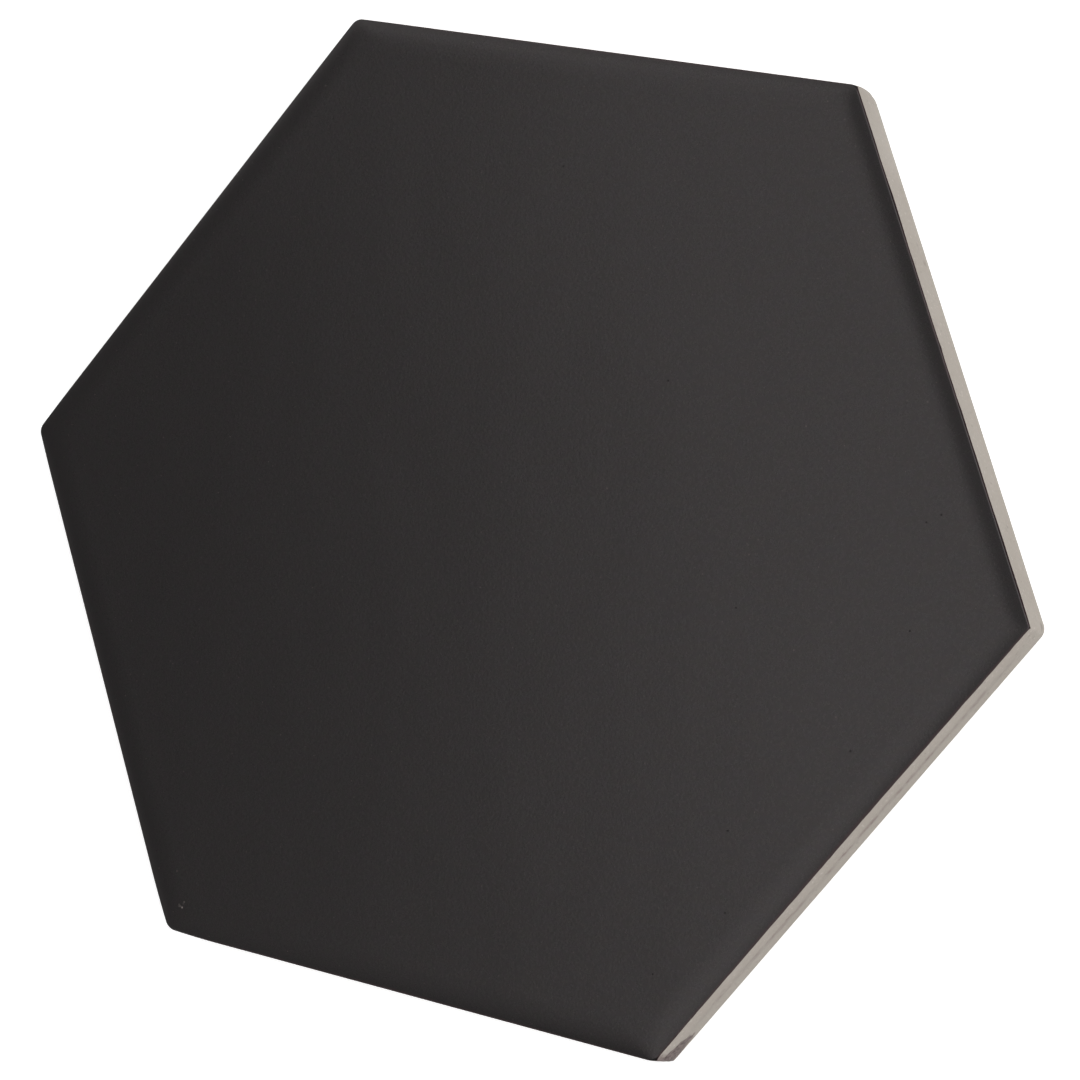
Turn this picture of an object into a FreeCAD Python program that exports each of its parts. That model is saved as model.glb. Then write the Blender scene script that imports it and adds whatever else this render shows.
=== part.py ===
import FreeCAD, Part
import math
import os

# Hexagon floor tile, pressed and fired as one piece of ceramic.
# It lies on its back with the glazed face up. The back is at z = 0, the origin is in the middle of the
# back, and two opposite corners lie on the X axis, so that two sides face along Y.

# Driving dimensions, in millimetres and degrees.
# The outline
ACROSS_FLATS = 150.0        # from one side to the opposite side, low down where the tile is widest
THICKNESS = 8.2             # from the back to the glazed face
SIDE_LEAN = 0.25            # how far a side leans in on its way up to the rolled edge
LEAN_START = 3.2            # height above the back from which the sides lean in
CORNER_RADIUS = 0.55        # upright corners at the rolled edge, seen from above
BACK_BEVEL = 0.2            # narrow bevel all round the back

# The rolled edge, where the glazed face falls away to the sides
ROLL_WIDTH = 3.6            # from the top of the side in to where the flat of the face begins
ROLL_RADIUS = 12.0          # long curve that starts at the flat of the face
ARRIS_RADIUS = 0.35         # short curve that turns down into the side

# The honeycomb of shallow pockets that keys the back into its adhesive
POCKET_ACROSS = 12.4        # across the flats of a pocket at its mouth
POCKET_DEPTH = 0.7
POCKET_WALL_LEAN = 30.0     # degrees from upright, so that the pressed tile leaves the die
RIB_WIDTH = 2.0             # ribs left standing between neighbouring pockets
BACK_RIM = 5.0              # least width of the plain band round the edge of the back

HEXAGON_SIDES = 6
CORNER_STEP = 360.0 / HEXAGON_SIDES
HALF_CORNER = CORNER_STEP / 2
FLAT_TO_CORNER = 1 / math.cos(math.radians(HALF_CORNER))

# The corners open out with the leaning sides, so they are rounder low down than at the rolled edge.
LOW_CORNER_RADIUS = CORNER_RADIUS + SIDE_LEAN

# The arris curve touches both the side and the long curve, which sets how far the roll falls in all.
SIDE_TO_FLAT = ROLL_WIDTH - ARRIS_RADIUS
ROLL_DROP = ROLL_RADIUS - math.sqrt((ROLL_RADIUS - ARRIS_RADIUS) ** 2 - SIDE_TO_FLAT ** 2)
ROLL_END_ANGLE = math.asin(SIDE_TO_FLAT / (ROLL_RADIUS - ARRIS_RADIUS))

UP = FreeCAD.Vector(0, 0, 1)


def polar(distance, heading, height=0.0):
    """Point at a distance from the Z axis, in a direction given in degrees from +X."""
    angle = math.radians(heading)
    return FreeCAD.Vector(distance * math.cos(angle), distance * math.sin(angle), height)


def hexagon_points(across_flats, height, first_corner):
    """Corners of a sharp hexagon."""
    distance = across_flats / 2 * FLAT_TO_CORNER
    return [polar(distance, first_corner + corner * CORNER_STEP, height) for corner in range(HEXAGON_SIDES)]


def closed_face(points):
    """Flat face through a ring of points."""
    return Part.Face(Part.makePolygon(points + points[:1]))


def corner_centre():
    """Centre of the round corner that lies on the X axis."""
    return polar((ACROSS_FLATS / 2 - LOW_CORNER_RADIUS) * FLAT_TO_CORNER, 0)


def slab():
    """Upright hexagon with round corners, as thick as the tile, with the edge of its back bevelled."""
    prism = closed_face(hexagon_points(ACROSS_FLATS, 0.0, 0.0)).extrude(UP * THICKNESS)
    upright_edges = [edge for edge in prism.Edges if edge.BoundBox.ZLength > THICKNESS / 2]
    prism = prism.makeFillet(LOW_CORNER_RADIUS, upright_edges)
    back_edges = [edge for edge in prism.Edges if edge.BoundBox.ZMax < THICKNESS / 2]
    return prism.makeChamfer(BACK_BEVEL, back_edges)


def roll_point(angle):
    """Point of the long curve as inset from the top of the side and height, for a slope in radians."""
    return ROLL_WIDTH - ROLL_RADIUS * math.sin(angle), THICKNESS - ROLL_RADIUS * (1 - math.cos(angle))


def arris_point(angle):
    """Point of the arris curve, for a slope given in radians."""
    inset = ARRIS_RADIUS * (1 - math.sin(angle))
    return inset, THICKNESS - ROLL_DROP + ARRIS_RADIUS * math.cos(angle)


def waste_section(side_distance, first_slope):
    """What is cut away above the rolled edge and outside the leaning side, in the XZ plane, side to +X."""
    middle_slope = (first_slope + ROLL_END_ANGLE) / 2
    middle_arris = (ROLL_END_ANGLE + math.pi / 2) / 2
    curve = [roll_point(first_slope), roll_point(middle_slope), roll_point(ROLL_END_ANGLE)]
    curve += [arris_point(middle_arris), arris_point(math.pi / 2)]
    top_of_side = side_distance - SIDE_LEAN
    points = [FreeCAD.Vector(top_of_side - inset, 0, height) for inset, height in curve]
    lean_foot = FreeCAD.Vector(side_distance, 0, LEAN_START)
    clear_of_side = lean_foot + FreeCAD.Vector(ROLL_WIDTH, 0, 0)
    clear_of_face = FreeCAD.Vector(clear_of_side.x, 0, THICKNESS + ROLL_DROP)
    above_start = FreeCAD.Vector(points[0].x, 0, clear_of_face.z)
    edges = [Part.Arc(*points[0:3]).toShape(), Part.Arc(*points[2:5]).toShape()]
    outside = [points[-1], lean_foot, clear_of_side, clear_of_face, above_start, points[0]]
    edges += Part.makePolygon(outside).Edges
    return Part.Face(Part.Wire(edges))


def straight_waste():
    """Waste along the straight part of the side that faces +X."""
    length = 2 * corner_centre().x * math.sin(math.radians(HALF_CORNER))
    bar = waste_section(ACROSS_FLATS / 2, 0.0).extrude(FreeCAD.Vector(0, length, 0))
    return bar.translated(FreeCAD.Vector(0, -length / 2, 0))


def corner_waste():
    """Waste round the corner that lies on the X axis, turned about the centre of that corner."""
    slope_at_centre = math.asin((ROLL_WIDTH - CORNER_RADIUS) / ROLL_RADIUS)
    section = waste_section(LOW_CORNER_RADIUS, slope_at_centre)
    section.rotate(FreeCAD.Vector(0, 0, 0), UP, -HALF_CORNER)
    return section.revolve(FreeCAD.Vector(0, 0, 0), UP, CORNER_STEP).translated(corner_centre())


def pocket():
    """One pocket of the back, centred on the Z axis, wider at its mouth than at its floor."""
    narrowing = 2 * POCKET_DEPTH * math.tan(math.radians(POCKET_WALL_LEAN))
    mouth = hexagon_points(POCKET_ACROSS, 0.0, HALF_CORNER)
    floor = hexagon_points(POCKET_ACROSS - narrowing, POCKET_DEPTH, HALF_CORNER)
    faces = [closed_face(mouth), closed_face(floor)]
    for corner in range(HEXAGON_SIDES):
        following = (corner + 1) % HEXAGON_SIDES
        faces.append(closed_face([mouth[corner], mouth[following], floor[following], floor[corner]]))
    return Part.makeSolid(Part.makeShell(faces))


def pocket_centres():
    """Centres of the honeycomb cells whose pockets leave the rim of the back whole."""
    pitch = POCKET_ACROSS + RIB_WIDTH
    pocket_reach = POCKET_ACROSS / 2 * FLAT_TO_CORNER
    limit = ACROSS_FLATS / 2 - BACK_RIM - pocket_reach
    rings = int(ACROSS_FLATS / pitch)
    side_normals = [polar(1, HALF_CORNER + side * CORNER_STEP) for side in range(HEXAGON_SIDES)]
    centres = []
    for along in range(-rings, rings + 1):
        for across in range(-rings, rings + 1):
            centre = polar(pitch * along, 0) + polar(pitch * across, CORNER_STEP)
            if max(centre.dot(normal) for normal in side_normals) <= limit:
                centres.append(centre)
    return centres


def turned(piece, heading):
    """Copy of a piece, turned about the middle of the tile."""
    return piece.rotated(FreeCAD.Vector(0, 0, 0), UP, heading)


def tile():
    """The whole tile as one solid."""
    waste = []
    for corner in range(HEXAGON_SIDES):
        waste.append(turned(corner_waste(), corner * CORNER_STEP))
        waste.append(turned(straight_waste(), corner * CORNER_STEP + HALF_CORNER))
    one_pocket = pocket()
    waste += [one_pocket.translated(centre) for centre in pocket_centres()]
    return slab().cut(waste)


os.makedirs("parts", exist_ok=True)
shape = tile()
shape.exportStep("parts/tile.step")
print("rolled edge falls by", round(ROLL_DROP, 3), "mm")
print("pockets on the back:", len(pocket_centres()))
print("solids:", len(shape.Solids), "valid:", shape.isValid(), "volume in cm3:", round(shape.Volume / 1000, 2))
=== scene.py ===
# %% [markdown]
# A hexagon floor tile. It is one piece of pressed and fired clay with a dark satin glaze on its face. The
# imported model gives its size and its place, and this lesson gives it the skin of the real tile: the soft
# roll of its edge, the slow waves of its glaze, the bare clay of its sides and the honeycomb of its back.

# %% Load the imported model
import math

import bmesh
import bpy
from mathutils import Matrix, Vector, noise


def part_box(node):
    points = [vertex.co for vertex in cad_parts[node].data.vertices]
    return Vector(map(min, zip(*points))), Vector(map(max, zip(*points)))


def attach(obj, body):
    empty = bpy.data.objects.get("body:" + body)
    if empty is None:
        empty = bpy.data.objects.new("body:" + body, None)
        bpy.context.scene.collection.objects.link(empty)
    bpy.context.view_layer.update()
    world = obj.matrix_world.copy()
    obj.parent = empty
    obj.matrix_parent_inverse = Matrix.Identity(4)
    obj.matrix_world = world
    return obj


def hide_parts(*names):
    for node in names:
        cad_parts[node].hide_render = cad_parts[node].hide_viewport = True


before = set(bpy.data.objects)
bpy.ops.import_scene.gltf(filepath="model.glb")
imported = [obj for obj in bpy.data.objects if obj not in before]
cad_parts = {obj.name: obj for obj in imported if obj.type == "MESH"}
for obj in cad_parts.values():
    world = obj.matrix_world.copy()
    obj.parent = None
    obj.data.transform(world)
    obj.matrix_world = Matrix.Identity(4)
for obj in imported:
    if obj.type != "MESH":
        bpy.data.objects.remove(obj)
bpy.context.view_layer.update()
tile_low, tile_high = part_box("tile")
print("tile measures, in mm:", [round(1000 * side, 2) for side in tile_high - tile_low])

# %% [markdown]
# All lengths below are in millimetres, as a tile maker would write them, and MM turns them into Blender's
# metres. The tile lies on its back at z = 0, with two corners on the X axis. Its outline sizes are read
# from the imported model, so the skin can't drift away from it.

# %% The tile's own measures
MM = 0.001
HALF_WIDTH = tile_high.y / MM
THICKNESS = tile_high.z / MM
SIDES = 6
CORNER_STEP = math.radians(360 / SIDES)
HALF_CORNER = CORNER_STEP / 2
print("half the width across the flats:", round(HALF_WIDTH, 3), "thickness:", round(THICKNESS, 3))

# %% [markdown]
# The camera comes first, because every later choice is judged through it. The photograph was taken from
# above with a long lens, and turned, so the tile's right-hand sides show. A camera that looks down on a
# lying tile gives the same picture. It is set by where it aims, from which side and height, how far off and
# how it is turned.

# %% Place the camera
CAMERA_AZIMUTH = math.radians(28.73)
CAMERA_ELEVATION = math.radians(65.516)
CAMERA_TURN = math.radians(77.135)
CAMERA_DISTANCE = 511.2
CAMERA_AIM = Vector((2.244, -7.098, 7.5))
LENS_LENGTH, FRAME_WIDTH = 110.47, 36
NEAREST_SEEN = 10

back = Vector((
    math.sin(CAMERA_AZIMUTH) * math.cos(CAMERA_ELEVATION),
    -math.cos(CAMERA_AZIMUTH) * math.cos(CAMERA_ELEVATION),
    math.sin(CAMERA_ELEVATION),
))
level_up = (Vector((0, 0, 1)) - back * back.z).normalized()
level_right = level_up.cross(back)
camera_up = math.cos(CAMERA_TURN) * level_up + math.sin(CAMERA_TURN) * level_right
camera_right = camera_up.cross(back)

camera_data = bpy.data.cameras.new("camera")
camera_data.lens = LENS_LENGTH
camera_data.sensor_width = FRAME_WIDTH
camera_data.clip_start = NEAREST_SEEN * MM
camera = bpy.data.objects.new("camera", camera_data)
bpy.context.scene.collection.objects.link(camera)
turned = Matrix((camera_right, camera_up, back)).transposed().to_4x4()
camera.matrix_world = Matrix.Translation((CAMERA_AIM + back * CAMERA_DISTANCE) * MM) @ turned
bpy.context.scene.camera = camera
print("camera stands at, in mm:", [round(x / MM, 1) for x in camera.location])

# %% [markdown]
# A pressed tile's corners are never all the same: here they differ from nearly sharp to well rounded, and
# two of them are sharpest low down or at mid-height, where the halves of the die met. So each corner has a
# radius for each of five heights. The ring below draws the outline once, with the same number of points
# whatever its size, so that rings of different sizes can be joined into a skin by straight strips of faces.

# %% Draw one ring of the outline
CORNER_HEIGHTS = [0.0, 1.6, 3.4, 5.4, 7.4]
CORNER_RADII = [
    [2.9, 1.0, 0.8, 0.9, 1.6],
    [1.9, 1.9, 1.9, 1.9, 1.9],
    [1.7, 1.7, 1.7, 1.7, 1.7],
    [2.0, 2.0, 2.0, 2.0, 2.0],
    [0.6, 0.2, 1.1, 1.9, 2.0],
    [2.0, 1.7, 1.3, 1.0, 0.6],
]
CORNER_PIECES = 8
SIDE_PIECES = 84


def heading_vector(heading):
    """Level arrow of length 1, turned by heading from +X."""
    return Vector((math.cos(heading), math.sin(heading), 0))


def between(marks, place):
    """Value at a place on the broken line through marks, which are (place, value) in order."""
    for (start, value), (end, next_value) in zip(marks, marks[1:]):
        if place < end:
            share = max(0.0, (place - start) / (end - start))
            return value + share * (next_value - value)
    return marks[-1][1]


def corner_radii(height):
    """The radii of the six corners at a height above the back."""
    return [between(list(zip(CORNER_HEIGHTS, radii)), height) for radii in CORNER_RADII]


def outline_ring(half_width, radii, height):
    """Points of the tile's outline in mm, anticlockwise from the corner on the X axis."""
    arcs = []
    for corner, radius in enumerate(radii):
        heading = corner * CORNER_STEP
        centre = heading_vector(heading) * (half_width - radius) / math.cos(HALF_CORNER)
        centre.z = height
        leans = [HALF_CORNER * (2 * piece / CORNER_PIECES - 1) for piece in range(CORNER_PIECES + 1)]
        arcs.append([centre + radius * heading_vector(heading + lean) for lean in leans])
    ring = []
    for arc, next_arc in zip(arcs, arcs[1:] + arcs[:1]):
        ring += arc
        ring += [arc[-1].lerp(next_arc[0], piece / SIDE_PIECES) for piece in range(1, SIDE_PIECES)]
    return ring


print("points in one ring:", len(outline_ring(HALF_WIDTH, corner_radii(0), 0)))

# %% [markdown]
# The edge of the glazed face rolls down to the side. The roll starts so softly that no line shows where it
# begins: its slope grows slowly at first and ever faster towards the edge. Then a short tight arc, the
# arris, turns it into the side. A bevel modifier could only make a round of one radius, so the curve is
# worked out and given to the rings instead. Its slope is steepest at the arris and fades inwards, by two
# thirds in each ROLL_FADE. The side itself is upright low down and leans in on its way up, by a quarter of
# a millimetre in all, so that the tile left its die.

# %% Draw the rolled edge
ROLL_REACH = 5.35
ROLL_SLOPE = math.radians(15)
ROLL_FADE = 2.5
ROLL_PIECES = 18
ROLL_CROWDING = 1.3
ARRIS_RADIUS = 0.35
SIDE_LEAN = 0.25
LEAN_START = 3.2


def fallen(reached):
    """How far the face has fallen at a distance in from the top of the arris."""
    end = math.exp(-ROLL_REACH / ROLL_FADE)
    faded = ROLL_FADE * (math.exp(-reached / ROLL_FADE) - end) - (ROLL_REACH - reached) * end
    return math.tan(ROLL_SLOPE) * faded / (1 - end)


ARRIS_LENGTH = ARRIS_RADIUS * (math.pi / 2 - ROLL_SLOPE)
ARRIS_FOOT = THICKNESS - fallen(0) - ARRIS_RADIUS * math.cos(ROLL_SLOPE)


def share_leaned(height):
    """0 where the side is upright, and 1 where it meets the arris."""
    return min(1.0, max(0.0, (height - LEAN_START) / (ARRIS_FOOT - LEAN_START))) ** 2


def arris_point(climbed):
    """Inset and height after climbing over the arris from its foot. Below the foot it follows the side."""
    turned = max(0.0, climbed) / ARRIS_RADIUS
    on_side = ARRIS_FOOT + min(0.0, climbed)
    inset = SIDE_LEAN * share_leaned(on_side) + ARRIS_RADIUS * (1 - math.cos(turned))
    return inset, on_side + ARRIS_RADIUS * math.sin(turned)


ROLL_START = arris_point(ARRIS_LENGTH)[0]
roll_curve = []
for piece in range(ROLL_PIECES + 1):
    reached = ROLL_REACH * (piece / ROLL_PIECES) ** ROLL_CROWDING
    roll_curve.append((ROLL_START + reached, THICKNESS - fallen(reached)))
print("fall of the roll, in mm:", round(fallen(0), 3), "height of the arris foot:", round(ARRIS_FOOT, 3))

# %% [markdown]
# Glaze flows a little before it freezes, so the face is never quite flat. Slow waves one to four
# centimetres long and some hundredths of a millimetre deep give it its cloudy sheen. They are real shape,
# made by noise that moves the points, because a sheen that comes from shape slides correctly when the tile
# is turned. The waves are longer one way than the other, as the glaze ran that way. They only go down from
# the flat, so the tile grows no thicker.

# %% Make the glaze wave
RUN_HEADING = math.radians(40)
RUN_STRETCH = 1.7
WAVE_LENGTHS = [22.0, 8.0]
WAVE_DEPTHS = [0.068, 0.032]
WAVE_SEED = 3.7


def glaze_wave(point):
    """How far the glaze lies below the flat of the face, in mm."""
    along = point.x * math.cos(RUN_HEADING) + point.y * math.sin(RUN_HEADING)
    across = point.y * math.cos(RUN_HEADING) - point.x * math.sin(RUN_HEADING)
    drop = 0.0
    for length, depth in zip(WAVE_LENGTHS, WAVE_DEPTHS):
        place = Vector((along / RUN_STRETCH / length, across / length, WAVE_SEED * length))
        drop += depth * min(1.0, max(0.0, 0.5 - 0.5 * noise.noise(place)))
    return drop


print("wave at the middle of the face, in mm:", round(glaze_wave(Vector((0, 0, 0))), 4))

# %% [markdown]
# The glaze ends on the arris in a line that wavers by a tenth of a millimetre or two, because it was
# sprayed and then wiped. Along the lower right side it ends well up on the arris, and along the right side
# about at its foot, with small steps and dips. So the line is given as a climb over the arris at a few
# places along these two sides, and a little noise does the rest. A round corner lies back from the wiping
# belt, so the glaze runs lower there. One ring of the skin follows the line, so the two finishes meet
# exactly on it.

# %% Draw the line where the glaze ends
LOWER_RIGHT, RIGHT = 4, 5
EDGE_CLIMB = 0.1
GLAZE_ENDS = {
    LOWER_RIGHT: [(-42, 0.22), (-28, 0.27), (-12, 0.31), (9, 0.34), (18, 0.29), (28, 0.27), (36, 0.22),
                  (42, 0.24)],
    RIGHT: [(-41.5, -0.13), (-37, -0.25), (-33, -0.2), (-28.5, -0.27), (-23, -0.09), (-17.5, -0.2),
            (-13, -0.12), (-9, -0.25), (-8, 0.03), (-5.5, -0.07), (-2, 0.06), (0.2, 0.0), (1.0, -0.22),
            (1.8, 0.04), (12.5, 0.0), (14.3, -0.1), (16, 0.06), (20, -0.13), (24.5, -0.26), (27, -0.11),
            (30.5, 0.0), (35, -0.1), (42, -0.06)],
}
CORNER_RUN = 4.0
LONGEST_RUN = 1.1
SLOW_WAVER, SLOW_LENGTH, SLOW_SEED = 0.05, 7, 5.1
QUICK_WAVER, QUICK_LENGTH, QUICK_SEED = 0.05, 1.3, 9.3


def waver(point, length, seed):
    """Noise from about -1 to 1 whose lumps are about length mm long."""
    return noise.noise(Vector((point.x / length, point.y / length, seed)))


def glaze_end(point):
    """The climb over the arris, in mm, at which the glaze ends near a point. Below 0 it ran down the side."""
    side = int((math.atan2(point.y, point.x) / CORNER_STEP) % SIDES)
    facing = (side + 0.5) * CORNER_STEP
    along = point.dot(heading_vector(facing + math.pi / 2))
    lies_back = HALF_WIDTH - SIDE_LEAN - point.dot(heading_vector(facing))
    half_side = HALF_WIDTH * math.tan(HALF_CORNER)
    ends = GLAZE_ENDS.get(side, [(0, EDGE_CLIMB)])
    climb = between([(-half_side, EDGE_CLIMB)] + ends + [(half_side, EDGE_CLIMB)], along)
    slow = waver(point, SLOW_LENGTH, SLOW_SEED) * (side not in GLAZE_ENDS)
    quick = waver(point, QUICK_LENGTH, QUICK_SEED)
    return climb + SLOW_WAVER * slow + QUICK_WAVER * quick - min(LONGEST_RUN, CORNER_RUN * lies_back)


middle_of_right = (HALF_WIDTH - SIDE_LEAN) * heading_vector((RIGHT + 0.5) * CORNER_STEP)
print("climb of the glaze line half-way along the right side, in mm:", round(glaze_end(middle_of_right), 3))

# %% [markdown]
# The skin is a stack of rings: over the bevel of the back, up the bare side, over the arris and up the
# roll. The bevel is uneven, as a fired edge is, and the bare side is not quite true either: slow noise
# draws both in by a few hundredths of a millimetre, and the outline falls back a little towards its rounder
# corners. Each corner also grows rounder towards the face, at a rate of its own. Between the glaze line and
# the top of the arris the rings share out the climb that is left at each point, so they follow the wavering
# line and never cross it.

# %% Stack the rings from the back to the face
BACK_BEVEL_CURVE = [(0.12, 0.0), (0.06, 0.01), (0.02, 0.04), (0.0, 0.1)]
BEVEL_UNEVENNESS, BEVEL_LUMP, BEVEL_SEED = 0.5, 3.0, 2.2
SIDE_FOOT = 0.22
SIDE_TOP = 6.0
SIDE_RINGS = 16
SIDE_HOLLOW, HOLLOW_LENGTH, HOLLOW_SEED = 0.02, 4.0, 7.7
ARRIS_PIECES = 12
CORNER_GROWTHS = [1.1, 1.5, 1.5, 1.3, 1.2, 0.9]
CORNER_FALLS = [0.0, 0.04, 0.13, 0.30, 0.03, 0.0]
FALL_LENGTH = 10.0


def drawn_in(point, depth):
    """A point of the side, moved towards the middle of the tile."""
    return point - Vector((point.x, point.y, 0)).normalized() * depth


def fallen_back(point):
    """A point of the outline, drawn in by its nearest corner's own measure."""
    corner = round(math.atan2(point.y, point.x) / CORNER_STEP) % SIDES
    tip = HALF_WIDTH / math.cos(HALF_CORNER) * heading_vector(corner * CORNER_STEP)
    reach = (Vector((point.x, point.y, 0)) - tip).length / FALL_LENGTH
    return drawn_in(point, CORNER_FALLS[corner] * max(0.0, 1 - reach) ** 2)


def shaped_ring(inset, height):
    """Ring of the tile's own outline. Its corners grow rounder towards the face."""
    rounder = max(0.0, inset - SIDE_LEAN)
    radii = [radius + growth * rounder for radius, growth in zip(corner_radii(height), CORNER_GROWTHS)]
    return [fallen_back(point) for point in outline_ring(HALF_WIDTH - inset, radii, height)]


def uneven(point, length, seed):
    """Slow unevenness from 0 to 1."""
    place = Vector((point.x / length, point.y / length, point.z / length + seed))
    return min(1.0, max(0.0, 0.5 + 0.5 * noise.noise(place)))


print("the corners grow rounder at these rates:", CORNER_GROWTHS)

# %% [markdown]
# At the bottom corner of the photograph the foot is rough and dark over a patch about six millimetres long
# and five high, shaped like half an egg. The roughness is worked into the skin here, and the dark colour,
# which is painted shadow, follows later.

# %% Roughen one corner
ROUGH_CORNER = HALF_WIDTH / math.cos(HALF_CORNER) * heading_vector(math.radians(240))
ROUGH_LENGTH = 6.1
ROUGH_MIDDLE = 2.0
ROUGH_ABOVE, ROUGH_BELOW = 3.6, 2.1
ROUGH_POWER = 1.65
ROUGH_DEPTH = 0.05
COARSE_LUMP, FINE_LUMP = 1.1, 0.45


def roughened(point):
    """How deep the rough patch at the bottom corner lies at a point of its side, in mm."""
    reach = (Vector((point.x, point.y, 0)) - ROUGH_CORNER).length / ROUGH_LENGTH
    rise = max((point.z - ROUGH_MIDDLE) / ROUGH_ABOVE, (ROUGH_MIDDLE - point.z) / ROUGH_BELOW)
    inside = 1 - reach ** ROUGH_POWER - rise ** ROUGH_POWER
    rough = 0.4 + 0.8 * noise.noise(point / COARSE_LUMP) + 0.4 * noise.noise(point / FINE_LUMP)
    return ROUGH_DEPTH * min(1.0, max(0.0, 3 * inside)) * min(1.0, max(0.0, rough))


print("the roughened corner stands at, in mm:", [round(x, 2) for x in ROUGH_CORNER])

# %% [markdown]
# Now the rings are worked out, from the back to the face. The glaze line is the first ring of the arris, so
# the number of rings below it tells later where the bare clay ends.

# %% Work out all the rings
def bevel_rings():
    """Over the bevel of the back."""
    rings = []
    for inset, height in BACK_BEVEL_CURVE:
        ring = []
        for point in shaped_ring(inset, height):
            lump = uneven(Vector((point.x, point.y, 0)), BEVEL_LUMP, BEVEL_SEED)
            grown = 1 + BEVEL_UNEVENNESS * (2 * lump - 1)
            spot = drawn_in(Vector((point.x, point.y, height * grown)), inset * (grown - 1))
            ring.append(drawn_in(spot, roughened(spot)))
        rings.append(ring)
    return rings


def side_rings():
    """Up the bare side, from the bevel to some way below the glaze line."""
    rings = []
    for step in range(SIDE_RINGS + 1):
        height = SIDE_FOOT + (SIDE_TOP - SIDE_FOOT) * step / SIDE_RINGS
        ring = []
        for point in shaped_ring(SIDE_LEAN * share_leaned(height), height):
            hollow = SIDE_HOLLOW * uneven(point, HOLLOW_LENGTH, HOLLOW_SEED)
            ring.append(drawn_in(point, hollow + roughened(point)))
        rings.append(ring)
    return rings


def arris_rings():
    """From the glaze line to just below the top of the arris."""
    foot = shaped_ring(*arris_point(0))
    top = shaped_ring(*arris_point(ARRIS_LENGTH))
    rings = [[] for piece in range(ARRIS_PIECES)]
    for low, high in zip(foot, top):
        start = glaze_end(low)
        for piece, ring in enumerate(rings):
            inset, height = arris_point(start + (ARRIS_LENGTH - start) * piece / ARRIS_PIECES)
            spot = low.lerp(high, (inset - SIDE_LEAN) / (ROLL_START - SIDE_LEAN))
            ring.append(Vector((spot.x, spot.y, height)))
    return rings


def roll_rings():
    """From the top of the arris to where the flat of the face begins. The waves fade in over them."""
    rings = []
    for inset, height in roll_curve:
        settled = (inset - ROLL_START) / ROLL_REACH
        ring = shaped_ring(inset, height)
        rings.append([point - Vector((0, 0, settled * glaze_wave(point))) for point in ring])
    return rings


bare_rings = bevel_rings() + side_rings()
glaze_line = len(bare_rings)
rings = bare_rings + arris_rings() + roll_rings()
print("rings:", len(rings), "points:", sum(len(ring) for ring in rings), "glaze starts at ring", glaze_line)

# %% [markdown]
# The flat of the face inside the last ring is a hexagon, and a hexagon divides into even triangles without
# a remainder. So it is filled with rows of small triangles, all of one size, and its rim has one point for
# each point of a ring's straight side. A fan of long slivers from the middle would show in the reflections.

# %% Fill the flat of the face
LAST_STRIP = 2.0
FLAT_INSET = ROLL_START + ROLL_REACH + LAST_STRIP


def face_lattice():
    """Rows of points that cover the flat of the face, as a dictionary from (row, place) to point."""
    side = (HALF_WIDTH - FLAT_INSET) / math.cos(HALF_CORNER)
    along = heading_vector(0) * side / SIDE_PIECES
    across = heading_vector(CORNER_STEP) * side / SIDE_PIECES
    points = {}
    for row in range(-SIDE_PIECES, SIDE_PIECES + 1):
        for place in range(-SIDE_PIECES, SIDE_PIECES + 1):
            if abs(row + place) <= SIDE_PIECES:
                point = along * place + across * row
                point.z = THICKNESS - glaze_wave(point)
                points[row, place] = point
    return points


def lattice_rim():
    """Keys of the points round the rim of the flat, anticlockwise from the corner on the X axis."""
    corners = [(0, 1), (1, 0), (1, -1), (0, -1), (-1, 0), (-1, 1)]
    rim = []
    for (row, place), (next_row, next_place) in zip(corners, corners[1:] + corners[:1]):
        for piece in range(SIDE_PIECES):
            far = SIDE_PIECES - piece
            rim.append((row * far + next_row * piece, place * far + next_place * piece))
    return rim


flat_points = face_lattice()
print("points on the flat of the face:", len(flat_points), "of which on its rim:", len(lattice_rim()))

# %% [markdown]
# Now the rings become one skin. Each strip joins two rings point by point. Faces below the glaze line get
# the finish of bare clay, and those above it get the glaze. A glaze runs thin towards its end and the
# clay's iron shows through, so each point also carries how thin its glaze is: 1 at the line, less with
# every tenth of a millimetre that it lies further up, and 0 from a millimetre on.

# %% Join the rings into a skin
BARE_CLAY, GLAZE = 0, 1
THIN_LENGTH = 1.0
THIN_ROLL_RINGS = 4
skin = bmesh.new()
thin_glaze = skin.verts.layers.float.new("thin_glaze")


def add_ring(ring):
    """The skin's own points for a ring, in metres."""
    return [skin.verts.new(point * MM) for point in ring]


def join_rings(lower, upper, finish):
    """A strip of four-sided faces between two rings of as many points."""
    for here in range(len(lower)):
        following = (here + 1) % len(lower)
        face = skin.faces.new((lower[here], lower[following], upper[following], upper[here]))
        face.material_index = finish


ring_verts = [add_ring(ring) for ring in rings]
for level in range(len(ring_verts) - 1):
    join_rings(ring_verts[level], ring_verts[level + 1], GLAZE if level >= glaze_line else BARE_CLAY)
for column in zip(*ring_verts[glaze_line:glaze_line + ARRIS_PIECES + THIN_ROLL_RINGS]):
    from_end = 0.0
    for below, vert in zip((column[0],) + column, column):
        from_end += (vert.co - below.co).length / MM
        vert[thin_glaze] = max(0.0, 1 - from_end / THIN_LENGTH)
print("faces of the edge:", len(skin.faces))

# %% [markdown]
# The flat comes next. Its triangles stand up and down in turn, two to each step of a row. A last strip
# joins its rim to the innermost ring, and at each corner of that strip a small fan takes in the round of
# the ring.

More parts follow.
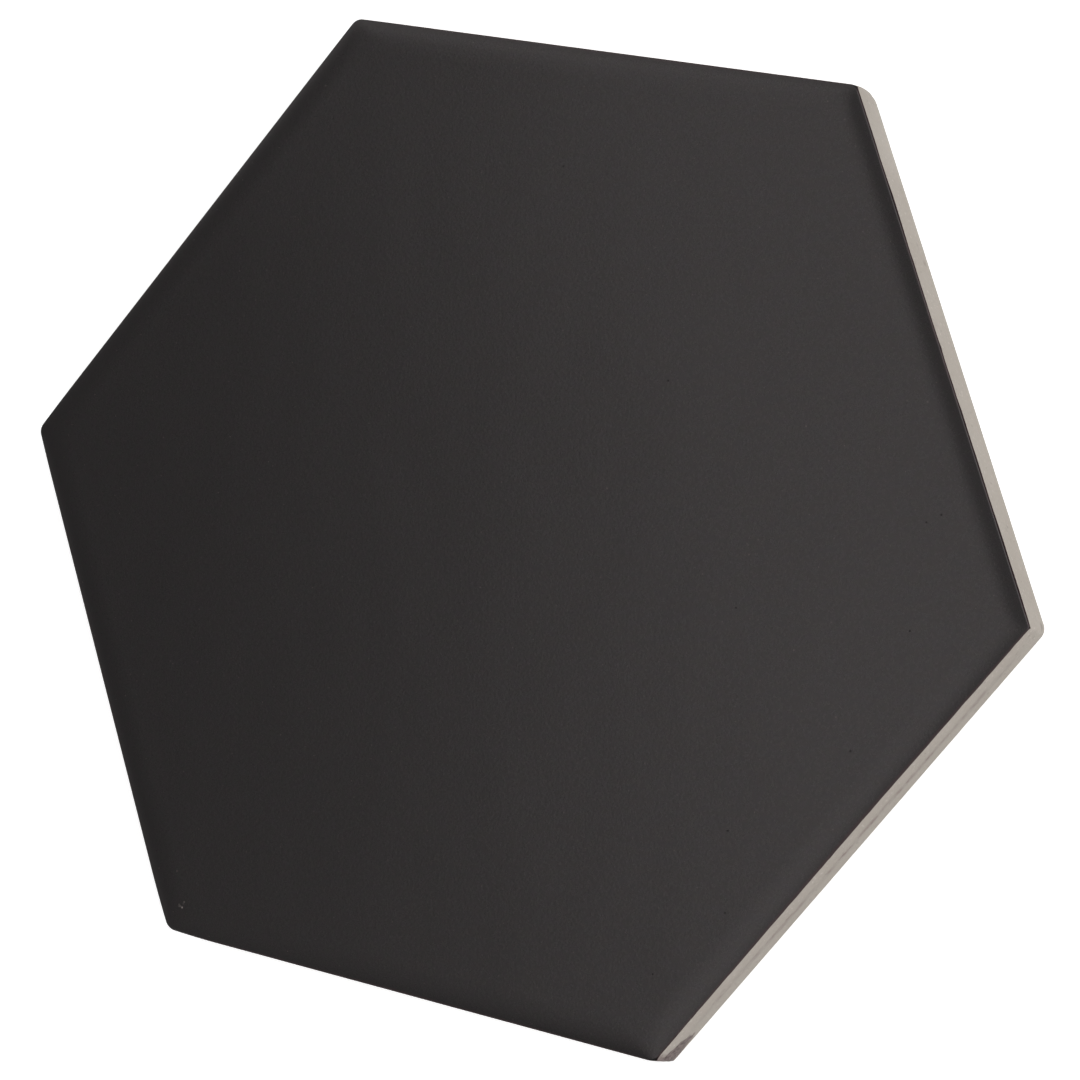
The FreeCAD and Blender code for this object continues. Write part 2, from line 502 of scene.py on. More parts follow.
# %% Lay the flat into the skin
flat_verts = {key: skin.verts.new(point * MM) for key, point in flat_points.items()}
steps = range(-SIDE_PIECES, SIDE_PIECES + 1)
for row in steps:
    for place in steps:
        pointing_down = ((row, place), (row, place + 1), (row + 1, place))
        pointing_up = ((row, place + 1), (row + 1, place + 1), (row + 1, place))
        for corners in (pointing_down, pointing_up):
            if all(corner in flat_verts for corner in corners):
                skin.faces.new([flat_verts[corner] for corner in corners]).material_index = GLAZE

rim_verts = [flat_verts[key] for key in lattice_rim()]
last_ring = ring_verts[-1]
for corner in range(SIDES):
    first = corner * (CORNER_PIECES + SIDE_PIECES)
    for piece in range(CORNER_PIECES):
        fan = (last_ring[first + piece], last_ring[first + piece + 1], rim_verts[corner * SIDE_PIECES])
        skin.faces.new(fan).material_index = GLAZE
    for piece in range(SIDE_PIECES):
        outer = first + CORNER_PIECES + piece
        inner = corner * SIDE_PIECES + piece
        outer_next = (outer + 1) % len(last_ring)
        inner_next = (inner + 1) % len(rim_verts)
        strip = (last_ring[outer], last_ring[outer_next], rim_verts[inner_next], rim_verts[inner])
        skin.faces.new(strip).material_index = GLAZE
print("faces with the flat:", len(skin.faces))

# %% [markdown]
# The back of a pressed tile is keyed, so that adhesive can grip it: here a honeycomb of shallow pockets, at
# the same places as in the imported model. The die's corners are rounded and its walls lean, so each pocket
# is a short stack of small rings too. The plane between the pockets is filled in one go, with a hole for
# each mouth.

# %% Press the honeycomb into the back
POCKET_ACROSS = 12.4
POCKET_DEPTH = 0.7
POCKET_CORNER_RADIUS = 1.5
RIB_WIDTH = 2.0
BACK_RIM = 5.0
POCKET_CURVE = [(0.24, 0.0), (0.06, 0.02), (-0.06, 0.12), (-0.32, 0.56), (-0.46, 0.67), (-0.75, POCKET_DEPTH)]
POCKET_CORNER_PIECES = 3


def pocket_centres():
    """Middles of the pockets that leave the rim of the back whole."""
    pitch = POCKET_ACROSS + RIB_WIDTH
    limit = HALF_WIDTH - BACK_RIM - POCKET_ACROSS / 2 / math.cos(HALF_CORNER)
    rows = int(2 * HALF_WIDTH / pitch)
    centres = []
    for row in range(-rows, rows + 1):
        for place in range(-rows, rows + 1):
            centre = heading_vector(0) * pitch * place + heading_vector(CORNER_STEP) * pitch * row
            reaches = [centre.dot(heading_vector(HALF_CORNER + side * CORNER_STEP)) for side in range(SIDES)]
            if max(reaches) <= limit:
                centres.append(centre)
    return centres


def pocket_ring(centre, half_width, radius, height):
    """Small hexagon with round corners, turned so that its flats face its neighbours."""
    ring = []
    for corner in range(SIDES):
        heading = HALF_CORNER + corner * CORNER_STEP
        arc_centre = centre + heading_vector(heading) * (half_width - radius) / math.cos(HALF_CORNER)
        for piece in range(POCKET_CORNER_PIECES + 1):
            lean = HALF_CORNER * (2 * piece / POCKET_CORNER_PIECES - 1)
            ring.append(arc_centre + radius * heading_vector(heading + lean) + Vector((0, 0, height)))
    return ring


def ring_edges(verts):
    """The edges round a ring, made where they are missing."""
    edges = []
    for here, following in zip(verts, verts[1:] + verts[:1]):
        edges.append(skin.edges.get((here, following)) or skin.edges.new((here, following)))
    return edges


back_edges = ring_edges(ring_verts[0])
for centre in pocket_centres():
    pocket_verts = []
    for outset, depth in POCKET_CURVE:
        half_width = POCKET_ACROSS / 2 + outset
        pocket_verts.append(add_ring(pocket_ring(centre, half_width, POCKET_CORNER_RADIUS + outset, depth)))
    for outer, inner in zip(pocket_verts, pocket_verts[1:]):
        join_rings(outer, inner, BARE_CLAY)
    skin.faces.new(pocket_verts[-1]).material_index = BARE_CLAY
    back_edges += ring_edges(pocket_verts[0])
filled = bmesh.ops.triangle_fill(skin, use_beauty=True, edges=back_edges, normal=(0, 0, -1))
between_pockets = [part for part in filled["geom"] if isinstance(part, bmesh.types.BMFace)]
print("pockets:", len(pocket_centres()), "faces between them:", len(between_pockets))

# %% [markdown]
# The skin is now closed, and becomes the tile's mesh. An edge that doesn't join exactly two faces would be
# a hole or a stray face, so the edges are counted before the mesh is made.

# %% Turn the skin into the tile
bmesh.ops.recalc_face_normals(skin, faces=skin.faces)
for face in skin.faces:
    face.smooth = True
open_edges = sum(1 for edge in skin.edges if not edge.is_manifold)
tile_mesh = bpy.data.meshes.new("hexagon_tile")
skin.to_mesh(tile_mesh)
skin.free()
tile = bpy.data.objects.new("hexagon_tile", tile_mesh)
bpy.context.scene.collection.objects.link(tile)
tile_mesh.calc_loop_triangles()
print("open edges:", open_edges, "triangles:", len(tile_mesh.loop_triangles))

# %% [markdown]
# The finishes are patterns made by Blender's own textures, laid through the solid of the tile in its own
# millimetres, so they need no picture and no unwrapping. A small helper holds one material while it is
# made. Each of its methods adds one or two nodes and gives back the socket that carries the result, so that
# a finish reads like a recipe. Blender's noise keeps near 0.5, so most of it is spread out before use: a
# reach of 0.2 about 0.5 gives soft patches, and a shorter one gives them more contrast.

# %% A helper for making finishes
MIX_SHARE, MIX_FIRST_COLOUR, MIX_OTHER_COLOUR, MIX_RESULT = 0, 6, 7, 2
NOISE_REACH, SHORT_REACH = 0.2, 0.15


class Finish:
    """A material in the making: its nodes, its links and the shader that they feed."""

    def __init__(self, name):
        self.material = bpy.data.materials.new(name)
        self.material.use_nodes = True
        self.nodes = self.material.node_tree.nodes
        self.links = self.material.node_tree.links
        self.shader = self.nodes["Principled BSDF"]
        metres = self.nodes.new("ShaderNodeTexCoord").outputs["Object"]
        self.place = self.moved(metres, scale=(1 / MM, 1 / MM, 1 / MM))

    def moved(self, place, shift=(0, 0, 0), turn=0.0, scale=(1, 1, 1)):
        """A place after it is scaled, turned about the upright axis and shifted."""
        node = self.nodes.new("ShaderNodeMapping")
        node.inputs["Location"].default_value = shift
        node.inputs["Rotation"].default_value = (0, 0, turn)
        node.inputs["Scale"].default_value = scale
        self.links.new(place, node.inputs["Vector"])
        return node.outputs["Vector"]

    def parts_of(self, place):
        """The three measures of a place, each by itself."""
        node = self.nodes.new("ShaderNodeSeparateXYZ")
        self.links.new(place, node.inputs["Vector"])
        return node.outputs["X"], node.outputs["Y"], node.outputs["Z"]

    def work_out(self, operation, *values):
        """One step of arithmetic. Values may be numbers or other nodes' results."""
        node = self.nodes.new("ShaderNodeMath")
        node.operation = operation
        for socket, value in zip(node.inputs, values):
            if isinstance(value, (int, float)):
                socket.default_value = value
            else:
                self.links.new(value, socket)
        return node.outputs["Value"]

    def noise(self, size, detail=2.0, seed=0.0, stretch=(1, 1, 1), place=None):
        """Noise whose lumps are about size millimetres across, or more where stretch is above 1."""
        texture = self.nodes.new("ShaderNodeTexNoise")
        texture.inputs["Scale"].default_value = 1.0
        texture.inputs["Detail"].default_value = detail
        scale = tuple(1 / (size * share) for share in stretch)
        scaled_place = self.moved(place or self.place, shift=(seed, seed, seed), scale=scale)
        self.links.new(scaled_place, texture.inputs["Vector"])
        return texture.outputs["Fac"]

    def spread(self, value, low, high, new_low=0.0, new_high=1.0):
        """Turns a range of a value into another range, and holds it there."""
        node = self.nodes.new("ShaderNodeMapRange")
        node.inputs["From Min"].default_value = low
        node.inputs["From Max"].default_value = high
        node.inputs["To Min"].default_value = new_low
        node.inputs["To Max"].default_value = new_high
        self.links.new(value, node.inputs["Value"])
        return node.outputs["Result"]

    def mottle(self, size, low=0.0, high=1.0, reach=NOISE_REACH, **kind):
        """Noise that runs from low to high. By itself it keeps within reach of 0.5, nearly everywhere."""
        return self.spread(self.noise(size, **kind), 0.5 - reach, 0.5 + reach, low, high)

    def blend(self, share, colour, other):
        """Colour where share is 0, other where it is 1. Each may be fixed or another node's result."""
        node = self.nodes.new("ShaderNodeMix")
        node.data_type = "RGBA"
        for number, value in ((MIX_SHARE, share), (MIX_FIRST_COLOUR, colour), (MIX_OTHER_COLOUR, other)):
            socket = node.inputs[number]
            if isinstance(value, tuple):
                socket.default_value = (*value, 1.0)
            elif isinstance(value, float):
                socket.default_value = value
            else:
                self.links.new(value, socket)
        return node.outputs[MIX_RESULT]

    def spots(self, place, marks, softness=0.08):
        """Round marks at (x, y, z, radius, strength): strength within the radius, nothing beyond it."""
        total = None
        for x, y, z, radius, strength in marks:
            node = self.nodes.new("ShaderNodeVectorMath")
            node.operation = "DISTANCE"
            self.links.new(place, node.inputs[0])
            node.inputs[1].default_value = (x, y, z)
            mark = self.spread(node.outputs["Value"], radius - softness, radius + softness, strength, 0.0)
            total = mark if total is None else self.work_out("MAXIMUM", total, mark)
        return total

    def relief(self, height, depth, below=None):
        """Relief depth millimetres deep, on top of other relief."""
        node = self.nodes.new("ShaderNodeBump")
        node.inputs["Distance"].default_value = depth * MM
        self.links.new(height, node.inputs["Height"])
        if below:
            self.links.new(below, node.inputs["Normal"])
        return node.outputs["Normal"]

    def feed(self, name, value):
        """Gives one of the shader's sockets a number, a colour or another node's result."""
        socket = self.shader.inputs[name]
        if isinstance(value, tuple):
            socket.default_value = (*value, 1.0)
        elif isinstance(value, (int, float)):
            socket.default_value = value
        else:
            self.links.new(value, socket)


print("helper ready:", Finish.__name__)

# %% [markdown]
# A satin glaze is a thin, nearly black glass whose skin is very finely rippled, so it mirrors the room as a
# soft blur. Almost all of its look is that blur. What is left is a faint warm brown-grey of its own,
# mottled so weakly that it only keeps the face from looking like plastic.

# %% The body of the glaze
DARK_CHARCOAL, LIGHT_CHARCOAL = (0.0147, 0.0134, 0.0136), (0.0157, 0.0143, 0.0145)
GREENISH_CHARCOAL, PINKISH_CHARCOAL = (0.0143, 0.0144, 0.0135), (0.0161, 0.0133, 0.0144)

glaze = Finish("charcoal_satin_glaze")
cloudy = glaze.blend(glaze.mottle(16, seed=3), DARK_CHARCOAL, LIGHT_CHARCOAL)
tinge = glaze.mottle(1.3, reach=SHORT_REACH, detail=1, seed=11)
glaze_colour = glaze.blend(0.5, cloudy, glaze.blend(tinge, GREENISH_CHARCOAL, PINKISH_CHARCOAL))
print("nodes in the glaze so far:", len(glaze.nodes))

# %% [markdown]
# Burst bubbles leave tiny flaws in any glaze, and some pinholes show dark. The glaze's fine sparkle is
# painted in as pale specks, painted glints, scattered all over and a few of them larger. Near one corner a
# nick about a millimetre across shows the pale body. The scattered glints come from a cell pattern that keeps
# only a few of its cells, and the larger marks are placed one by one, in millimetres on the face.

# %% Painted glints, pinholes and the nick
GLINT_CELL, EMPTY_CELLS = 1.6, 0.9
GLINT_RADIUS, GLINT_STRENGTH = 0.11, 0.8
PINHOLE_RADIUS, PINHOLE_STRENGTH = 0.10, 0.9
PLACED_GLINTS = [(81.7, 1.7), (81.3, -2.3), (80.3, -5.6), (79.3, -6.4), (23.0, -34.9), (15.5, -10.5),
               (14.1, -61.5), (43.1, -28.8), (17.1, -49.9), (-1.8, -72.9), (25.4, -72.9), (57.8, -40.9),
               (31.8, 71.3), (-78.0, 4.8)]
PINHOLES = [(11.9, -66.5), (44.5, -52.7), (47.7, 29.3), (15.7, -38.7), (-19.0, -68.1), (31.0, -61.5),
            (46.8, -53.7), (34.1, -7.0), (-33.6, -65.8), (-9.7, -60.2)]
NICK = [(-81.60, 0.15, 0.14, 0.8), (-81.68, 0.58, 0.15, 0.28), (-81.63, 0.88, 0.12, 0.2),
        (-81.85, 0.75, 0.12, 0.15), (-81.02, 0.39, 0.1, 0.15), (-80.69, 0.46, 0.14, 0.2)]

cells = glaze.nodes.new("ShaderNodeTexVoronoi")
cells.voronoi_dimensions = "2D"
cells.inputs["Scale"].default_value = 1 / GLINT_CELL
glaze.links.new(glaze.place, cells.inputs["Vector"])
glint_disc = glaze.spread(cells.outputs["Distance"], 0.0, GLINT_RADIUS / GLINT_CELL, 1.0, 0.0)
kept = glaze.spread(glaze.parts_of(cells.outputs["Color"])[0], EMPTY_CELLS, 1.0)
scattered_glints = glaze.work_out("MULTIPLY", glint_disc, kept)
placed = [(x, y, THICKNESS, GLINT_RADIUS, GLINT_STRENGTH) for x, y in PLACED_GLINTS]
painted_glints = glaze.work_out("MAXIMUM", scattered_glints, glaze.spots(glaze.place, placed))
placed = [(x, y, THICKNESS, PINHOLE_RADIUS, PINHOLE_STRENGTH) for x, y in PINHOLES]
pinholes = glaze.spots(glaze.place, placed)
nick = glaze.spots(glaze.place, [(x, y, THICKNESS, radius, strength) for x, y, radius, strength in NICK])
print("flaws placed by hand:", len(PLACED_GLINTS) + len(PINHOLES) + len(NICK))

# %% [markdown]
# Now the glaze gets its colour and its relief. It turns brown towards its thin end, where the iron of the
# clay comes through. The relief is a very fine grain, with the pinholes as pits in it.

# %% The colour and the relief of the glaze
THIN_BROWN = (0.036, 0.020, 0.021)
GLINT_COLOUR = (0.085, 0.066, 0.064)
PINHOLE_COLOUR = (0.003, 0.003, 0.003)
NICK_COLOUR = (0.36, 0.31, 0.29)
GLAZE_GRAIN_DEPTH = 0.012
PIT_DEPTH = 0.03

thin = glaze.nodes.new("ShaderNodeAttribute")
thin.attribute_name = "thin_glaze"
brown = glaze.spread(thin.outputs["Fac"], 0.4, 0.95)
glaze_colour = glaze.blend(brown, glaze_colour, THIN_BROWN)
# Painted glints: pale specks that stand in for the glaze's sparkle.
glaze_colour = glaze.blend(painted_glints, glaze_colour, GLINT_COLOUR)
glaze_colour = glaze.blend(pinholes, glaze_colour, PINHOLE_COLOUR)
glaze_colour = glaze.blend(nick, glaze_colour, NICK_COLOUR)
fine_grain = glaze.relief(glaze.noise(0.42, detail=2, seed=5), GLAZE_GRAIN_DEPTH)
pits = glaze.relief(glaze.work_out("MULTIPLY", pinholes, -1.0), PIT_DEPTH, below=fine_grain)
glaze.feed("Base Color", glaze_colour)
glaze.feed("Normal", pits)
print("nodes in the glaze so far:", len(glaze.nodes))

# %% [markdown]
# Last comes the gloss, which is most of what shows. The wiping has dulled the lower half of the arris, so
# that a dark brown line shows there beside the bright one above it. The gloss has a fine grain, a little
# pink or green from place to place, and faint brown and blue wisps a few millimetres long. The roughness
# sets how blurred the mirrored room is, and so how satin the face looks.

# %% The gloss of the glaze
GLAZE_ROUGHNESS = 0.27
LEAST_GLOSS, MOST_GLOSS = 0.485, 0.575
DULL_HEIGHT, DULL_BLUR = 0.25, 0.03
WISP_HEADING = math.radians(49)
GREENISH_GLOSS, PINKISH_GLOSS = (0.99, 0.935, 0.90), (1.0, 0.89, 0.925)
BROWNISH_GLOSS, BLUISH_GLOSS = (1.0, 0.91, 0.875), (0.975, 0.91, 0.945)
THIN_GLOSS = (1.0, 0.87, 0.88)

glaze.feed("Roughness", GLAZE_ROUGHNESS)
dull_line = ARRIS_FOOT + DULL_HEIGHT
dulled = glaze.spread(glaze.parts_of(glaze.place)[2], dull_line - DULL_BLUR, dull_line + DULL_BLUR, 1.0, 0.0)
kept_gloss = glaze.work_out("SUBTRACT", 1.0, glaze.work_out("MAXIMUM", pinholes, dulled))
gloss_grain = glaze.mottle(0.4, LEAST_GLOSS, MOST_GLOSS, seed=27)
glaze.feed("Specular IOR Level", glaze.work_out("MULTIPLY", gloss_grain, kept_gloss))
tint_grain = glaze.mottle(0.9, reach=SHORT_REACH, detail=1, seed=31)
grain_tint = glaze.blend(tint_grain, GREENISH_GLOSS, PINKISH_GLOSS)
along_wisps = glaze.moved(glaze.place, turn=WISP_HEADING)
wisps = glaze.mottle(1.1, reach=SHORT_REACH, seed=52, stretch=(2.6, 1, 1), place=along_wisps)
gloss_tint = glaze.blend(0.5, grain_tint, glaze.blend(wisps, BROWNISH_GLOSS, BLUISH_GLOSS))
glaze.feed("Specular Tint", glaze.blend(brown, gloss_tint, THIN_GLOSS))
print("nodes in the glaze:", len(glaze.nodes))

# %% [markdown]
# The body is a pale clay the colour of oatmeal, fired but not glazed, so it is dull and a little chalky. It
# is mottled in broad, faint patches and has a fine grain, with a few dark specks of iron and a few light
# grains.

# %% The body of the clay
DARK_OATMEAL, LIGHT_OATMEAL = (0.453, 0.410, 0.364), (0.480, 0.438, 0.392)
GRAIN_SHADE, GRAIN_SHADE_STRENGTH = (0.41, 0.365, 0.32), 0.5
IRON_BROWN, IRON_STRENGTH = (0.22, 0.17, 0.15), 0.4
LIGHT_GRAIN, LIGHT_GRAIN_STRENGTH = (0.62, 0.57, 0.53), 0.55

clay = Finish("bare_fired_clay")
clay_colour = clay.blend(clay.mottle(7, seed=2), DARK_OATMEAL, LIGHT_OATMEAL)
clay_grain = clay.noise(0.45, detail=3, seed=8)
shading = clay.spread(clay_grain, 0.5 - NOISE_REACH, 0.5 + NOISE_REACH, 0.0, GRAIN_SHADE_STRENGTH)
clay_colour = clay.blend(shading, clay_colour, GRAIN_SHADE)
iron = clay.spread(clay.noise(0.55, detail=0, seed=21), 0.76, 0.82, 0.0, IRON_STRENGTH)
clay_colour = clay.blend(iron, clay_colour, IRON_BROWN)
light_grains = clay.spread(clay.noise(0.5, detail=0, seed=33), 0.71, 0.80, 0.0, LIGHT_GRAIN_STRENGTH)
clay_colour = clay.blend(light_grains, clay_colour, LIGHT_GRAIN)
print("nodes in the clay so far:", len(clay.nodes))

# %% [markdown]
# Each side has marks of its own. To place them, the side gets its own measures: how far along it from its
# middle, how far in, and how high. The lower right side carries a streak along the middle, where it was
# dragged over a rail. First comes a soft brownish band, which wanders a little up and down and is patchy.
# It is kept to within a millimetre of the plane of its side, so that it doesn't show on the others.

# %% The band of the drag streak
LOWER_RIGHT_SIDE, RIGHT_SIDE = math.radians(-90), math.radians(-30)
STREAK_HEIGHT, STREAK_SLOPE = 4.15, -0.009
STREAK_WANDER = 0.35
STREAK_CORE, STREAK_EDGE = 0.3, 1.1
STREAK_FROM, STREAK_TO = -33, 36
SLOW_START, SLOW_STOP = 5, 4
MARKS_FULL, MARKS_NONE = 0.6, 1.0


def side_place(heading):
    """The place as if the tile were turned until a side faced the front: along it, inwards, and up."""
    return clay.moved(clay.place, turn=-math.pi / 2 - heading)


def only_on_front(inwards):
    """1 on the side that faces the front, and 0 on the others."""
    return clay.spread(inwards, MARKS_FULL - HALF_WIDTH, MARKS_NONE - HALF_WIDTH, 1.0, 0.0)


own_place = side_place(LOWER_RIGHT_SIDE)
along, inwards, height = clay.parts_of(own_place)
wander = clay.mottle(9, -STREAK_WANDER, STREAK_WANDER, seed=14, place=own_place)
streak_middle = clay.work_out("ADD", clay.work_out("MULTIPLY", along, STREAK_SLOPE), STREAK_HEIGHT)
off_middle = clay.work_out("SUBTRACT", height, clay.work_out("ADD", streak_middle, wander))
fading = clay.spread(clay.work_out("ABSOLUTE", off_middle), STREAK_CORE, STREAK_EDGE, 1.0, 0.0)
patchy = clay.mottle(1.2, 0.15, 0.8, SHORT_REACH, detail=3, seed=44, stretch=(1.6, 1, 0.8), place=own_place)
starts = clay.spread(along, STREAK_FROM - SLOW_START, STREAK_FROM + SLOW_START)
stops = clay.spread(along, STREAK_TO - SLOW_STOP, STREAK_TO + SLOW_STOP, 1.0, 0.0)
ends = clay.work_out("MULTIPLY", starts, stops)
band = clay.work_out("MULTIPLY", clay.work_out("MULTIPLY", fading, patchy), ends)
print("nodes in the clay so far:", len(clay.nodes))

# %% [markdown]
# Short dark dashes lie in the band, where grit on the rail scratched deeper. They are placed one by one as
# spots (along, up, radius, strength), in a place that is squeezed along the side, so that the round spots
# come out long.

# %% The dashes of the drag streak
STREAK_BROWN = (0.25, 0.19, 0.18)
STREAK_STRENGTH = 0.65
DASH_STRETCH = 1.5
DASH_RUFFLE = 0.25
DASHES = [(-29.5, 4.4, 0.35, 0.5), (-28.1, 3.8, 0.3, 0.35), (-24.1, 4.1, 0.3, 0.3), (-17.3, 4.3, 0.4, 0.45),
          (-13.6, 4.4, 0.4, 0.8), (-12.8, 4.1, 0.35, 0.5), (-11.0, 4.3, 0.3, 0.7), (-4.4, 4.2, 0.4, 0.5),
          (-0.9, 4.2, 0.4, 0.8), (0.4, 4.35, 0.35, 0.6), (3.0, 4.1, 0.4, 0.8), (4.1, 4.05, 0.35, 0.7),
          (5.5, 3.95, 0.35, 0.75), (6.4, 3.9, 0.35, 0.8), (7.9, 3.9, 0.3, 0.7), (7.1, 5.1, 0.2, 0.5),
          (11.8, 3.9, 0.4, 0.45), (13.9, 3.95, 0.4, 0.8), (14.7, 3.9, 0.3, 0.6), (16.3, 5.0, 0.2, 0.6),
          (18.2, 4.0, 0.35, 0.75), (19.0, 3.95, 0.3, 0.6), (24.6, 4.1, 0.3, 0.6), (28.5, 3.7, 0.4, 0.3),
          (34.8, 3.5, 0.4, 0.35), (36.5, 3.5, 0.35, 0.3)]

ruffled = clay.work_out("ADD", height, clay.mottle(0.8, -DASH_RUFFLE, DASH_RUFFLE, seed=40))
stretched = clay.nodes.new("ShaderNodeCombineXYZ")
clay.links.new(clay.work_out("DIVIDE", along, DASH_STRETCH), stretched.inputs["X"])
clay.links.new(ruffled, stretched.inputs["Z"])
dashes = [(x / DASH_STRETCH, 0, z, radius, strength) for x, z, radius, strength in DASHES]
dashes = clay.spots(stretched.outputs["Vector"], dashes, softness=0.15)
crumbly = clay.spread(clay.noise(0.45, detail=3, seed=41), 0.38, 0.56, 0.1, 1.0)
dashes = clay.work_out("MULTIPLY", dashes, crumbly)
streak = clay.work_out("MULTIPLY", clay.work_out("ADD", dashes, band), only_on_front(inwards))
clay_colour = clay.blend(clay.work_out("MULTIPLY", streak, STREAK_STRENGTH), clay_colour, STREAK_BROWN)
print("nodes in the clay so far:", len(clay.nodes))

# %% [markdown]
# The right side has no streak. It has a few small smudges, and a paler patch low down near its upper end.

# %% The smudges and the pale patch
SMUDGE_BROWN = (0.17, 0.14, 0.125)
PALE_CLAY = (0.56, 0.52, 0.475)
SMUDGES = [(-42.6, 1.6, 0.55, 0.5), (14.9, 2.2, 0.35, 0.45), (15.0, 1.6, 0.35, 0.35), (17.8, 2.9, 0.25, 0.35),
           (-27.2, 3.0, 0.22, 0.5)]
PALE_PATCH = [(34, -HALF_WIDTH, 0.8, 4.5, 0.4)]

smudge_place = side_place(RIGHT_SIDE)
smudges = [(x, -HALF_WIDTH, z, radius, strength) for x, z, radius, strength in SMUDGES]
smudges = clay.spots(smudge_place, smudges, softness=0.3)
clay_colour = clay.blend(smudges, clay_colour, SMUDGE_BROWN)
pale_patch = clay.spots(smudge_place, PALE_PATCH, softness=3.5)
clay_colour = clay.blend(pale_patch, clay_colour, PALE_CLAY)
print("nodes in the clay so far:", len(clay.nodes))

# %% [markdown]
# The rough corner that was worked into the skin gets its dark colour, a painted shadow, from the same shape,
# with light crumbs at its foot, and a painted brown shade above it along the very corner.

# %% The painted shadow at the rough corner
PAINTED_SHADE_BROWN, PAINTED_SHADE_STRENGTH = (0.24, 0.18, 0.17), 0.7
PAINTED_SHADE_FULL, PAINTED_SHADE_NONE = 0.8, 2.1
PAINTED_SHADOW_LIGHT, PAINTED_SHADOW_DARK = (0.25, 0.20, 0.19), (0.09, 0.066, 0.062)
PAINTED_SHADOW_FULL, PAINTED_SHADOW_NONE, PAINTED_SHADOW_RAGGED = 0.90, 1.06, 0.12
CRUMB_COLOUR = (0.50, 0.45, 0.42)

flat_place = clay.moved(clay.place, scale=(1, 1, 0))
from_corner = clay.nodes.new("ShaderNodeVectorMath")
from_corner.operation = "DISTANCE"
clay.links.new(flat_place, from_corner.inputs[0])
from_corner.inputs[1].default_value = ROUGH_CORNER
height = clay.parts_of(clay.place)[2]
above = clay.spread(height, ROUGH_MIDDLE, ROUGH_MIDDLE + ROUGH_ABOVE, 0.0, 1.0)
below = clay.spread(height, ROUGH_MIDDLE - ROUGH_BELOW, ROUGH_MIDDLE, 1.0, 0.0)
rise = clay.work_out("POWER", clay.work_out("MAXIMUM", above, below), ROUGH_POWER)
reach = clay.work_out("DIVIDE", from_corner.outputs["Value"], ROUGH_LENGTH)
reach = clay.work_out("POWER", reach, ROUGH_POWER)
# The dark, blotchy colour of the rough patch is painted shadow.
ragged = clay.mottle(0.9, -PAINTED_SHADOW_RAGGED, PAINTED_SHADOW_RAGGED, detail=3, seed=60)
painted_shadow = clay.work_out("ADD", clay.work_out("ADD", reach, rise), ragged)
painted_shadow = clay.spread(painted_shadow, PAINTED_SHADOW_FULL, PAINTED_SHADOW_NONE, 1.0, 0.0)
# Painted shade: a brown darkening along the very corner.
painted_shade = clay.spread(from_corner.outputs["Value"], PAINTED_SHADE_FULL, PAINTED_SHADE_NONE, PAINTED_SHADE_STRENGTH, 0.0)
clay_colour = clay.blend(painted_shade, clay_colour, PAINTED_SHADE_BROWN)
blotches = clay.spread(clay.noise(0.6, detail=2, seed=51), 0.4, 0.65)
painted_shadow_colour = clay.blend(blotches, PAINTED_SHADOW_LIGHT, PAINTED_SHADOW_DARK)
crumbs = clay.spread(clay.noise(0.5, detail=2, seed=77), 0.55, 0.62, 0.0, 0.7)
crumbs = clay.work_out("MULTIPLY", crumbs, clay.spread(height, 0.4, 1.0, 1.0, 0.0))
painted_shadow_colour = clay.blend(crumbs, painted_shadow_colour, CRUMB_COLOUR)
clay_colour = clay.blend(painted_shadow, clay_colour, painted_shadow_colour)
print("nodes in the clay so far:", len(clay.nodes))

# %% [markdown]
# The white powder that keeps a tile from sticking to the kiln rollers lies in patches on the back, and the
# sides turn a little paler towards their foot. With that the clay is complete. Its fine grain is a relief
# too, and it hardly shines.

# %% The powder, and the clay as a whole
POWDER_AND_FOOT_WHITE = (0.60, 0.57, 0.52)
CLAY_GRAIN_DEPTH = 0.07
CLAY_ROUGHNESS = 0.85
CLAY_GLOSS = 0.3

dusty = clay.spread(clay.noise(11, detail=3, seed=70), 0.45, 0.75, 0.0, 0.5)
on_back = clay.spread(height, 0.0, 0.05, 1.0, 0.0)
# The sides turn a little paler towards their foot.
paler_foot = clay.spread(height, 0.5, 4.0, 0.14, 0.0)
powder_and_paler_foot = clay.work_out("MAXIMUM", clay.work_out("MULTIPLY", dusty, on_back), paler_foot)
clay_colour = clay.blend(powder_and_paler_foot, clay_colour, POWDER_AND_FOOT_WHITE)
clay.feed("Base Color", clay_colour)
clay.feed("Roughness", CLAY_ROUGHNESS)
clay.feed("Specular IOR Level", CLAY_GLOSS)
clay.feed("Normal", clay.relief(clay_grain, CLAY_GRAIN_DEPTH))
print("nodes in the clay:", len(clay.nodes))

# %% [markdown]
# The tile gets its two finishes, and its place in the imported model: it rides on the tile's own body and
# stands in for the CAD solid, which is hidden.

# %% Dress the tile
for finish in (clay, glaze):
    tile_mesh.materials.append(finish.material)
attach(tile, "root")
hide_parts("tile")
print("finishes:", [material.name for material in tile_mesh.materials])

# %% [markdown]
# The tile lies on a sheet of white paper. Seen by the camera the paper glows a little, so that it turns out
# pure white as in the photograph, while the tile's soft shadow still lies on it. The glow only meets the
# camera, so it puts no light on the tile.

# %% The white paper
PAPER_HALF = 3.0
PAPER_BELOW = 0.1
PAPER_WHITE, GLOW_WHITE = (0.85, 0.85, 0.85), (1.0, 1.0, 1.0)
PAPER_GLOW = 0.6
PAPER_ROUGHNESS = 0.9

corners = [(-PAPER_HALF, -PAPER_HALF, 0), (PAPER_HALF, -PAPER_HALF, 0),
           (PAPER_HALF, PAPER_HALF, 0), (-PAPER_HALF, PAPER_HALF, 0)]
paper_mesh = bpy.data.meshes.new("paper")
paper_mesh.from_pydata(corners, [], [(0, 1, 2, 3)])
paper = bpy.data.objects.new("paper", paper_mesh)
bpy.context.scene.collection.objects.link(paper)
paper.location.z = -PAPER_BELOW * MM

